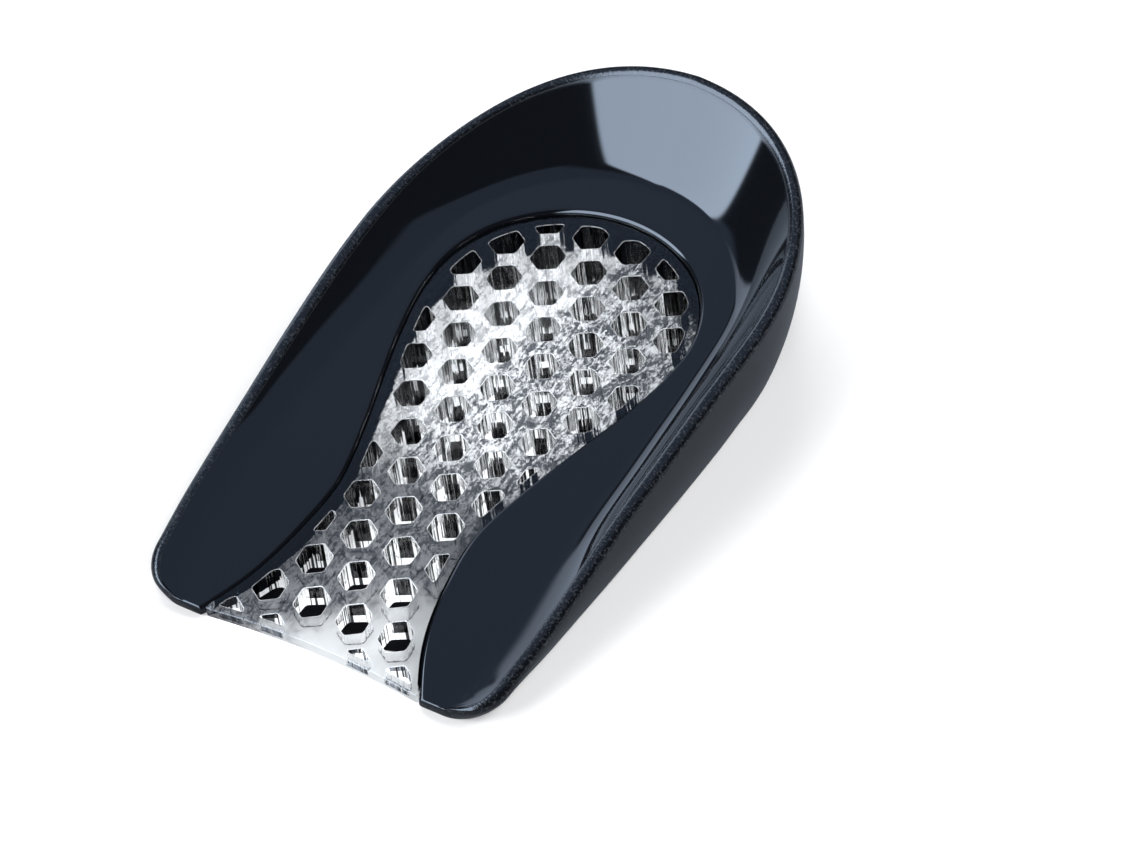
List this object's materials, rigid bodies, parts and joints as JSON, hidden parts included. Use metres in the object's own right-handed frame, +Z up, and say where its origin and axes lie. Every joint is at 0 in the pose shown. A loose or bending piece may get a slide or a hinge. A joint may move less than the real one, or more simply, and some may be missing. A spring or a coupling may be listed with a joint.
{
  "type": "silicone heel protector",
  "caption": "Open-fronted black silicone heel cup with a raised rim round the heel and a clear honeycomb gel cushion set into its floor.",
  "frame": {"origin": "centre of the footprint, on the surface that the cup rests on", "axes": "+Y along the foot towards the back of the heel, +X to the wearer's right, +Z up"},
  "size_m": [0.066, 0.108, 0.023],
  "materials": {
    "shell_silicone": "glossy moulded black",
    "clear_gel": "clear wet gloss"
  },
  "bodies": {
    "root": {"cup_shell": "shell_silicone", "gel_honeycomb_pad": "clear_gel"}
  },
  "joints": []
}
